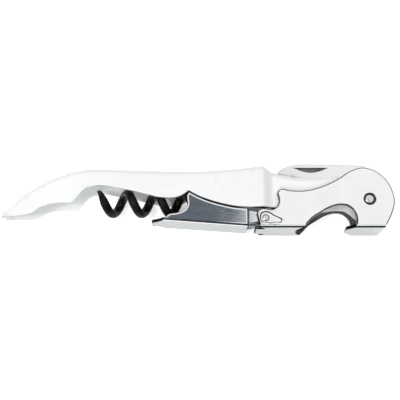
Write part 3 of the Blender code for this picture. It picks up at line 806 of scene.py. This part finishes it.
def recess(bm, outline, middle_point, rows, height, side):
    """A recess's soft sides, in a wall. rows gives (share of the way to the middle, depth).

    Returns the outline of the recess's floor.
    """
    loops = [toward(outline, middle_point, share) for share, _ in rows]
    for k in range(len(rows) - 1):
        strip(bm, [spot(x, y, height - side * rows[k][1]) for x, y in loops[k]],
              [spot(x, y, height - side * rows[k + 1][1]) for x, y in loops[k + 1]], side < 0)
    return loops[-1]


def pocket_points():
    """The pocket about the second lever's hinge: round at the hinge, pointed towards the eye."""
    shape = [(-2.05, 0.3), (-1.3, 1.8), (0.7, 2.05), (2.7, 0.9), (5.4, -1.2), (2.8, -1.6)]
    shape += [(0.0, -1.65), (-1.5, -1.2)]
    return [(HINGE_X + x, HINGE_Y + y) for x, y in shape]


def head_lever():
    """The first lever: two cheeks, joined by a toothed foot and by the cap lifter's lip."""
    top = WEB_Y + HEAD_FOLD
    outline = trace(cheek_outline(), 0.45)
    hinge = (HINGE_X, HINGE_Y)
    pocket = trace(pocket_points(), 0.3)
    soft_sides = [(0, 0), (0.04, 0.05 * POCKET), (0.09, 0.35 * POCKET), (0.14, 0.8 * POCKET)]
    soft_sides += [(0.18, POCKET)]
    eye_seat = circle((0, 0), EYE_SEAT)
    hinge_seat = circle(hinge, HINGE_SEAT, 32)
    bm = bmesh.new()
    for side in (1, -1):
        z = side * HEAD_HALF
        fill(bm, [outline, eye_seat, pocket], z)
        floor_loop = recess(bm, pocket, (HINGE_X + 0.5, HINGE_Y), soft_sides, z, side)
        fill(bm, [floor_loop, hinge_seat], z - side * POCKET)
        for start, end in ((FOOT_START, FOOT_END), (LIP_START, LIP_END)):
            fold(bm, (start[0], top, start[1]), (end[0], top, end[1]), HEAD_HALF, HEAD_FOLD, side)
    web_half = HEAD_HALF - HEAD_FOLD

    def on_web(x, z):
        return spot(x, WEB_Y, z)

    sheet = len(bm.faces)
    arm_slot = [(FOOT_START[1], web_half), (HINGE_X - 1.3, 5.05), (HINGE_X - 0.35, 4.95)]
    arm_slot += [(HINGE_X - 0.35, 3.5)]
    foot = [(x, -z) for x, z in arm_slot] + teeth(HINGE_X - 3.2, 3.3, 5)
    foot += list(reversed(arm_slot)) + [(FOOT_END[1], web_half)]
    foot += [(-22.6, 2.5), (-22.9, 0), (-22.6, -2.5), (FOOT_END[1], -web_half)]
    fill(bm, [foot], 0, level=on_web)
    lip = [(LIP_END[1], -web_half), (LIP_START[1], -web_half), (-7.0, -2.6), (-7.15, -1.2)]
    lip += [(-7.15, 1.2), (-7.0, 2.6), (LIP_START[1], web_half), (LIP_END[1], web_half)]
    fill(bm, [lip], 0, level=on_web)
    bm.faces.ensure_lookup_table()
    # The webs take the darker web plate: the walls' plating, with painted shade.
    for face in bm.faces[sheet:]:
        face.material_index = WEB_SLOT
    # The rims take the near-black edge colour, a painted shade outline.
    shiny = [MATERIALS[key] for key in ("nickel", "edge", "web", "edge", "inside")]
    obj = piece("first_link", bm, "head_lever", shiny, "head_lever")
    face_outwards(obj)
    thicken(obj, HEAD_WALL)
    # The cheeks' inner faces take a dark plate, a painted shade.
    for polygon in obj.data.polygons:
        if polygon.normal.z * (polygon.center.z - EYE.z) < 0 and abs(polygon.normal.z) > 0.9:
            polygon.material_index = INSIDE_SLOT
    for side in (1, -1):
        round_off(obj, 2, side * HEAD_HALF, -side, quarter(HEAD_ROUND, 5), top)
    round_off(obj, 1, WEB_Y, 1, quarter(WEB_ROUND, 3))
    # The inside of the cheeks stays flat where the rounding has bent it.
    inner = (HEAD_HALF - HEAD_WALL) * MM
    for vertex in obj.data.vertices:
        off = vertex.co.z - EYE.z
        above_fold = vertex.co.y > EYE.y + (top + 0.2) * MM
        if inner - 0.5 * MM < abs(off) < inner and above_fold:
            vertex.co.z = EYE.z + math.copysign(inner, off)
    shade(obj)


def teeth(tip_x, half, count):
    """A foot's toothed end, from -half to half in z."""
    depth = 0.35
    return [(tip_x + depth * (k % 2), z) for k, z in enumerate(spread(-half, half, 2 * count))]


def face_outwards(obj):
    """Turns a folded sheet's faces away from the middle plane, and its webs' faces down."""
    bm = bmesh.new()
    bm.from_mesh(obj.data)
    bmesh.ops.remove_doubles(bm, verts=bm.verts, dist=2e-6)
    bm.normal_update()
    for face in bm.faces:
        side = math.copysign(1, face.calc_center_median().z - EYE.z)
        if face.normal.dot(Vector((0, -0.5, side))) < 0:
            face.normal_flip()
    bm.to_mesh(obj.data)
    bm.free()


# ---------------------------------------------------------------- step lever

def step_lever():
    """The second lever: a channel with a toothed foot, and two arms that step in to the hinge."""
    radius = STEP_FOLD
    toe = 3.7
    nose = FOOT_X + toe
    foot_y = -(WORM_R + STEP_WALL + 0.95)
    end_y = WEB_Y + 0.5

    def base(x):
        """The web's height at x."""
        return foot_y + (end_y - foot_y) * (x - nose) / (STEP_END_X - nose)

    nose_y = base(nose) + radius
    end_fold_y = base(STEP_END_X) + radius
    upper = step_top_points()
    main = [(STEP_END_X, end_fold_y, "corner"), (STEP_END_X, upper[0][1], "corner")]
    main += upper[1:]
    main += [(STEP_CORNER_X - 0.1, 2.3), (STEP_CORNER_X - 0.55, 1.6), (STEP_CORNER_X - 0.6, -1.9)]
    main += [(STEP_CORNER_X - 1.1, -3.0), (STEP_CORNER_X - 2.6, -3.95), (nose + 3.7, -4.4)]
    main += [(nose + 1.8, -4.7), (nose + 0.4, nose_y, "corner")]
    arm_x = STEP_END_X + 0.5
    arm_top = upper[0][1] - 0.25
    arm_low = HINGE_Y - 1.35
    eye_r = 1.66
    arm_bore = 0.86
    joggle_rows = 6
    arm = [(arm_x, arm_low, "corner"), (HINGE_X - 3.2, HINGE_Y - 1.1)]
    arm += [(HINGE_X - 2.4, HINGE_Y - 0.85), (HINGE_X - 1.6, HINGE_Y - 0.95)]
    arm += arc_points((HINGE_X, HINGE_Y), eye_r, -115, 95, 8)
    arm += [(HINGE_X - 2.2, HINGE_Y + 2.2), (arm_x, arm_top, "corner")]
    bm = bmesh.new()
    for side in (1, -1):
        flip = side < 0
        fill(bm, [trace(main, 0.45)], side * STEP_HALF)
        fill(bm, [trace(arm, 0.35), circle((HINGE_X, HINGE_Y), arm_bore, 24)],
             side * ARM_HALF)
        last = None
        for part in spread(0, 1, joggle_rows):
            x = STEP_END_X + (arm_x - STEP_END_X) * part
            z = side * (STEP_HALF + (ARM_HALF - STEP_HALF) * ramp_between(part, 0, 1))
            line = [spot(x, upper[0][1] + (arm_top - upper[0][1]) * part, z),
                    spot(x, end_fold_y + (arm_low - end_fold_y) * part, z)]
            if last:
                strip(bm, last, line, flip, closed=False)
            last = line
        fold(bm, (nose + 0.4, base(nose + 0.4) + radius, nose),
             (STEP_END_X, end_fold_y, STEP_END_X), STEP_HALF, radius, side)
    web_half = STEP_HALF - radius

    def on_web(x, z):
        return spot(x, base(x) if x > nose else foot_y - 0.3 * ((nose - x) / toe) ** 2, z)

    sheet = len(bm.faces)
    web = [(STEP_END_X, -web_half), (nose, -web_half), (nose, web_half), (STEP_END_X, web_half)]
    fill(bm, [web], 0, level=on_web)
    sole = [(nose, -web_half), (nose - 1.2, -3.6), (nose - 2.6, -2.9)]
    sole += teeth(FOOT_X + 0.05, 2.5, 3)
    sole += [(nose - 2.6, 2.9), (nose - 1.2, 3.6), (nose, web_half)]
    fill(bm, [sole], 0, level=on_web)
    bm.faces.ensure_lookup_table()
    # The web and sole take the darker web plate: the walls' plating, with painted shade.
    for face in bm.faces[sheet:]:
        face.material_index = WEB_SLOT
    # The rims take the near-black edge colour, a painted shade outline.
    shiny = [MATERIALS[key] for key in ("steel_plate", "edge", "web", "edge")]
    obj = piece("second_link", bm, "step_lever", shiny, "step_lever")
    face_outwards(obj)
    thicken(obj, STEP_WALL)
    rolled = [(0, 0.26), (0.03, 0.17), (0.09, 0.11), (0.16, 0.075), (0.48, 0.015), (0.58, 0)]
    for side in (1, -1):
        round_off(obj, 2, side * STEP_HALF, -side, rolled, end_fold_y - 0.3)
        round_off(obj, 2, side * ARM_HALF, -side, quarter(ARM_ROUND, 3))
    shade(obj)


# ---------------------------------------------------------------- worm

def worm():
    """The wire: a helix that tapers to its point, a bend in to the axis, and the eye on the pin."""
    radius = WORM_R - WIRE_R
    point_length = 0.2
    helix_end = PIN_X - 12.0
    turns = 5
    pitch = (helix_end - WORM_TIP_X - point_length) / turns
    per_turn = 48
    path = []
    for k in range(turns * per_turn + 1):
        turn = k / per_turn
        a = 2 * math.pi * turn
        thick = WIRE_R * min(1, 0.3 + 2.6 * turn)
        r = radius + (WIRE_R - thick) * 0.7
        x = WORM_TIP_X + point_length + pitch * turn
        path.append((Vector((x, r * math.cos(a), r * math.sin(a))), thick))
    last_x = path[-1][0].x
    bend = 24
    bend_length = 5.0
    bend_turn = 0.3
    for k in range(1, bend + 1):
        part = k / bend
        a = 2 * math.pi * bend_turn * part
        r = radius * (1 - ramp_between(part, 0, 1))
        x = last_x + bend_length * part
        path.append((Vector((x, r * math.cos(a), r * math.sin(a))), WIRE_R))
    path.append((Vector((PIN_X - 2.0, 0, 0)), WIRE_R))
    bm = bmesh.new()
    sides = 20
    normal = Vector((0, 1, 0))
    rings = []
    for i, (p, thick) in enumerate(path):
        after = path[min(i + 1, len(path) - 1)][0]
        direction = (after - path[max(i - 1, 0)][0]).normalized()
        normal = (normal - direction * normal.dot(direction)).normalized()
        other = direction.cross(normal)
        ring = []
        for k in range(sides):
            a = 2 * math.pi * k / sides
            q = p + (normal * math.cos(a) + other * math.sin(a)) * thick
            ring.append(bm.verts.new(spot(*q)))
        rings.append(ring)
    for one, two in zip(rings, rings[1:]):
        for k in range(sides):
            j = (k + 1) % sides
            bm.faces.new((one[k], one[j], two[j], two[k]))
    tip = bm.verts.new(spot(*(path[0][0] - Vector((0.12, 0, 0.05)))))
    for k in range(sides):
        bm.faces.new((tip, rings[0][(k + 1) % sides], rings[0][k]))
    bm.faces.new(rings[-1])
    eye_in = 1.06
    eye_out = 2.6
    e = 0.35
    eye = [(eye_in, WIRE_R - e), (eye_in + e, WIRE_R), (eye_out - e, WIRE_R), (eye_out, WIRE_R - e)]
    lathe(bm, (PIN_X, 0), eye + [(r, -z) for r, z in reversed(eye)] + [eye[0]])
    bmesh.ops.recalc_face_normals(bm, faces=bm.faces)
    piece("worm_wire", bm, "worm", [MATERIALS["coating"]], "worm", smooth_angle=50)


# ---------------------------------------------------------------- blade

def blade_edges():
    """The blade's toothed edge, and the line where its grind starts, from the tang to the tip."""
    start = Vector((-8.8, 5.6))
    end = Vector((BLADE_TIP_X + 1.2, 8.9))
    teeth_count = 14
    per_tooth = 8
    cutting = []
    grind = []
    for part in spread(0, 1, teeth_count * per_tooth):
        point = start.lerp(end, part)
        sag = 1.3 * math.sin(math.pi * part)
        depth = 0.35 * (1 - 0.8 * ramp_between(part, 0.5, 0.7))
        scallop = depth * abs(math.sin(math.pi * part * teeth_count))
        cutting.append((point.x, point.y - sag + scallop))
        width = 2.0 * min(1, 6 * part, 5 * (1 - part) + 0.15)
        grind.append((point.x + 0.12 * width, point.y - sag + 0.35 + width))
    return cutting, grind


def blade():
    """The folded blade: its back above the spine, its nail nick, its toothed edge in the slit."""
    back = [(BLADE_TIP_X, 9.6, "corner"), (BLADE_TIP_X + 1.4, 11.1), (BLADE_TIP_X + 4.3, 12.4)]
    back += [(BLADE_TIP_X + 7.6, BLADE_TOP - 0.05), (-12.8, BLADE_TOP - 0.15)]
    back += [(-7.0, BLADE_TOP - 0.25), (-1.6, BLADE_TOP - 0.4, "corner")]
    heel = [(0.2, BLADE_TOP - 1.1), (-0.7, 10.2), (-0.5, 8.6), (0.7, 6.8)]
    heel += arc_points((0, 0), 4.2, 35, -188, 7)
    heel += [(-5.4, 3.2), (-8.2, 5.2, "corner")]
    outline = trace(back + heel, 0.4, closed=False)
    cutting, grind = blade_edges()
    nick_top = 11.7
    nick_middle = BLADE_TIP_X + 11.0
    nick = [(nick_middle + 5.4, nick_top), (nick_middle + 2.9, 10.6), (nick_middle, 10.1)]
    nick += [(nick_middle - 2.9, 10.6), (nick_middle - 5.4, nick_top)]
    arc = trace(nick, 0.4, closed=False)
    bore = circle((0, 0), extent("eye_tube", 0)[1] + TUBE_PLAY)
    z = BLADE_HALF
    keen = 0.16
    bm = bmesh.new()
    fill(bm, [outline + grind, bore, list(reversed(arc))], z)
    fill(bm, [outline + grind, bore], -z)
    strip(bm, [spot(x, y, z) for x, y in bore], [spot(x, y, -z) for x, y in bore])
    for side in (1, -1):
        strip(bm, [spot(x, y, side * z) for x, y in grind],
              [spot(x, y, side * keen) for x, y in cutting], flip=side > 0, closed=False)
    strip(bm, [spot(x, y, keen) for x, y in cutting], [spot(x, y, -keen) for x, y in cutting],
          flip=True, closed=False)
    strip(bm, [spot(x, y, z) for x, y in outline], [spot(x, y, -z) for x, y in outline],
          closed=False)
    for (near, near_z), (far, far_z) in (((grind[0], z), (cutting[0], keen)),
                                         ((grind[-1], z), (cutting[-1], keen)),
                                         ((outline[-1], z), (grind[0], z)),
                                         ((grind[-1], z), (outline[0], z))):
        corners = (spot(*near, near_z), spot(*far, far_z), spot(*far, -far_z), spot(*near, -near_z))
        bm.faces.new([bm.verts.new(p) for p in corners])
    bmesh.ops.remove_doubles(bm, verts=bm.verts, dist=1e-6)
    bmesh.ops.recalc_face_normals(bm, faces=bm.faces)
    deep = z - 0.45
    floor = [(x, min(y, nick_top - 0.02)) for x, y in toward(arc, (nick_middle, nick_top), 0.12)]
    sheet = len(bm.faces)
    strip(bm, [spot(x, y, z) for x, y in arc], [spot(x, y, deep) for x, y in floor])
    fill(bm, [list(reversed(floor))], deep)
    # The nail nick takes a dark colour, a painted shade in the hollow.
    bm.faces.ensure_lookup_table()
    for face in bm.faces[sheet:]:
        face.material_index = RIM_SLOT
    obj = piece("blade", bm, "foil_blade", [MATERIALS["blade"], MATERIALS["nick"]], "foil_blade")
    # The rounded back and bore rims take the same dark colour, a painted shade line.
    for side in (1, -1):
        round_off(obj, 2, side * z, -side, quarter(BLADE_ROUND, 4))
    shade(obj, sharp=30)


# ---------------------------------------------------------------- rivets, pins, hidden pieces

def rivet(name, body, joint, shank_r, head_r, head_height, crown):
    """A rivet with low domed heads, each with a soft hammered rim."""
    centre = from_eye(joint)
    dome = [(0, crown)]
    for k in range(1, 9):
        a = math.radians(11 * k)
        dome.append((head_r * math.sin(a), crown - 0.32 * (1 - math.cos(a))))
    under = crown - head_height
    half = dome + [(head_r, crown - 0.4), (head_r - 0.05, under), (shank_r, under)]
    bm = bmesh.new()
    lathe(bm, centre, half + [(r, -z) for r, z in reversed(half)])
    bmesh.ops.recalc_face_normals(bm, faces=bm.faces)
    piece(name + "_formed", bm, body, [MATERIALS["rivet"]], name, smooth_angle=40)


def seat(name, centre, inner, outer, top):
    """The rings that a rivet's two heads sit on, at the bottom of their counterbores, near black as
    painted shade round the heads.
    """
    low = top - 0.4
    bm = bmesh.new()
    for side in (1, -1):
        lathe(bm, centre, [(inner, side * low), (inner, side * top), (outer, side * top),
                           (outer, side * low), (inner, side * low)])
    bmesh.ops.recalc_face_normals(bm, faces=bm.faces)
    obj = piece(name, bm, "head_lever", [MATERIALS["edge"]], smooth_angle=40)


def pin(name, centre, radius):
    """A pin with slightly domed ends that stand a hair proud of the handle's walls."""
    proud = NARROW_HALF + 0.06
    dome = [(0, proud), (radius * 0.5, proud - 0.01), (radius * 0.85, proud - 0.05)]
    dome += [(radius, proud - 0.13)]
    bm = bmesh.new()
    lathe(bm, centre, dome + [(r, -z) for r, z in reversed(dome)], 32)
    bmesh.ops.recalc_face_normals(bm, faces=bm.faces)
    piece(name + "_turned", bm, "handle", [MATERIALS["rivet"]], name, smooth_angle=40)


def middle(node_name):
    """A CAD node's middle in the side view."""
    low_x, high_x = extent(node_name, 0)
    low_y, high_y = extent(node_name, 1)
    return (low_x + high_x) / 2, (low_y + high_y) / 2


def dress(names, made):
    """Gives CAD nodes a better material."""
    for name in names:
        mesh = frame["nodes"][name].data
        mesh.materials.clear()
        mesh.materials.append(made)


def make_materials():
    even = (1, 1, 1)
    along_x = (0.1, 1, 1)
    MATERIALS["enamel"] = enamel()
    MATERIALS["bare_steel_shaded_edge"] = bare_steel_shaded_edge()
    MATERIALS["nickel"] = plated("bright_nickel", (0.85, 0.86, 0.875), (0.90, 0.905, 0.915),
                                 0.05, 0.11)
    MATERIALS["steel_plate"] = plated("polished_steel", (0.78, 0.80, 0.83), (0.86, 0.875, 0.89),
                                      0.05, 0.11)
    # The levers' webs: the walls' plating, coloured darker as painted shade.
    MATERIALS["web"] = brushed("shaded_web_plate", (0.38, 0.395, 0.395), (0.47, 0.485, 0.485),
                               0.24, 0.36, (0.06, 1, 1))
    # Near black for the levers' cut edges, rounded rims and rivet seats: painted shade for dark
    # outlines.
    MATERIALS["edge"] = brushed("shaded_cut_edge", (0.06, 0.062, 0.064), (0.11, 0.113, 0.116),
                                0.16, 0.3, along_x)
    # The head lever's cheeks inside: the same plating, coloured dark as painted shade.
    MATERIALS["inside"] = brushed("shaded_inside_plate", (0.15, 0.153, 0.156), (0.24, 0.244, 0.248),
                                  0.2, 0.34, along_x)
    MATERIALS["coating"] = coating()
    MATERIALS["blade"] = brushed("blade_steel", (0.87, 0.87, 0.862), (0.90, 0.90, 0.892),
                                 0.16, 0.24)
    # The nail nick and the blade's rounded rims: the blade's steel, coloured dark as painted shade.
    MATERIALS["nick"] = brushed("shaded_nick_and_rim", (0.10, 0.10, 0.095), (0.20, 0.20, 0.19), 0.35, 0.5)
    MATERIALS["rivet"] = brushed("rivet_steel", (0.66, 0.655, 0.64), (0.76, 0.755, 0.735),
                                 0.22, 0.34, even)
    MATERIALS["spring"] = brushed("spring_steel", (0.30, 0.31, 0.34), (0.46, 0.47, 0.50), 0.2, 0.35)
    MATERIALS["brass"] = brushed("brass", (0.62, 0.45, 0.20), (0.80, 0.63, 0.33), 0.2, 0.36, even)


make_stage()
make_materials()
handle()
head_lever()
step_lever()
worm()
blade()
EYE_CROWN = extent("eye_rivet", 2)[1]
HINGE_CROWN = extent("hinge_rivet", 2)[1]
seat("eye_seat", (0, 0), 1.1, EYE_SEAT + 0.1, HEAD_HALF - 0.55)
seat("hinge_seat", (HINGE_X, HINGE_Y), 0.9, HINGE_SEAT + 0.1, HEAD_HALF - POCKET - 0.55)
rivet("eye_rivet", "handle", "lever_hinge", 1.0, 1.4, EYE_CROWN - HEAD_HALF + 0.5, EYE_CROWN)
rivet("hinge_rivet", "head_lever", "step_hinge", 0.8, 1.05, 0.5, HINGE_CROWN)
pin("worm_pin", (PIN_X, 0), 1.0)
pin("spring_pin", middle("spring_pin"), 0.7)
dress(("eye_tube", "hinge_tube", "worm_spacer_front", "worm_spacer_rear"), MATERIALS["rivet"])
dress(("blade_spring",), MATERIALS["spring"])
dress(("blade_spacer_front", "blade_spacer_rear", "eye_washer_front", "eye_washer_rear",
       "hinge_washer_front", "hinge_washer_rear"), MATERIALS["brass"])
